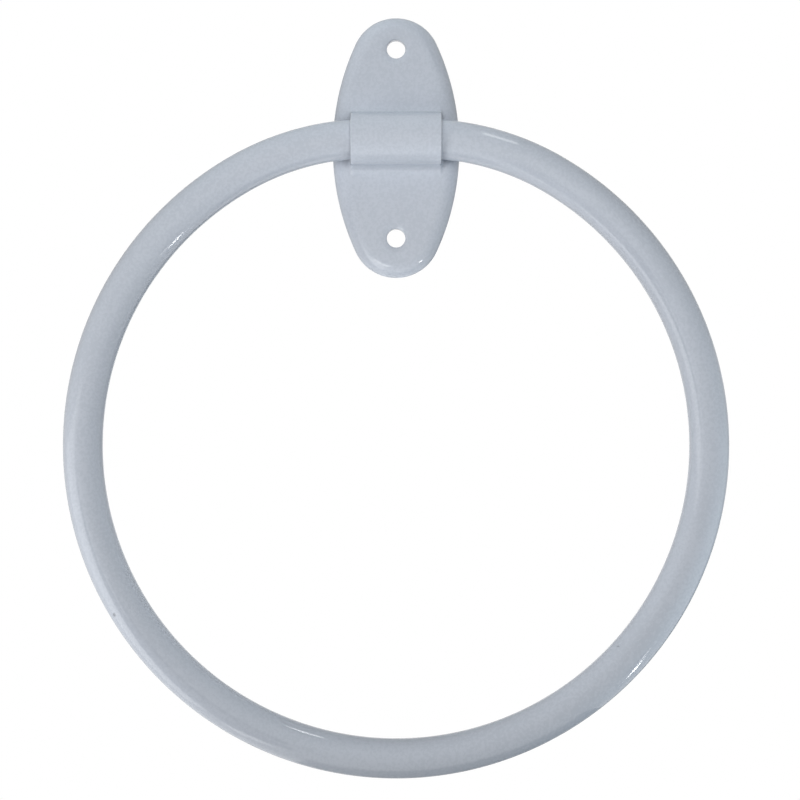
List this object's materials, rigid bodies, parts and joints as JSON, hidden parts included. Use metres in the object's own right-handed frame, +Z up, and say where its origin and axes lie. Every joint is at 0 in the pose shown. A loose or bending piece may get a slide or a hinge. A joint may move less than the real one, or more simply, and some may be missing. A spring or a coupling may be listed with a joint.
{
  "type": "towel ring",
  "caption": "Towel ring: a round painted steel tube clamped by a bent half-round strap to an oval pressed wall plate with screw holes above and below the strap.",
  "frame": {"origin": "on the wall plane, midway between the two screw holes", "axes": "+X to the right as seen from the room, +Y into the wall, +Z up"},
  "size_m": [0.202, 0.0175, 0.2323],
  "materials": {
    "enamel": "gloss stoving enamel, pale blue grey, with a faint orange peel"
  },
  "bodies": {
    "root": {"wall_plate": "enamel", "strap": "enamel", "ring": "enamel"}
  },
  "joints": []
}
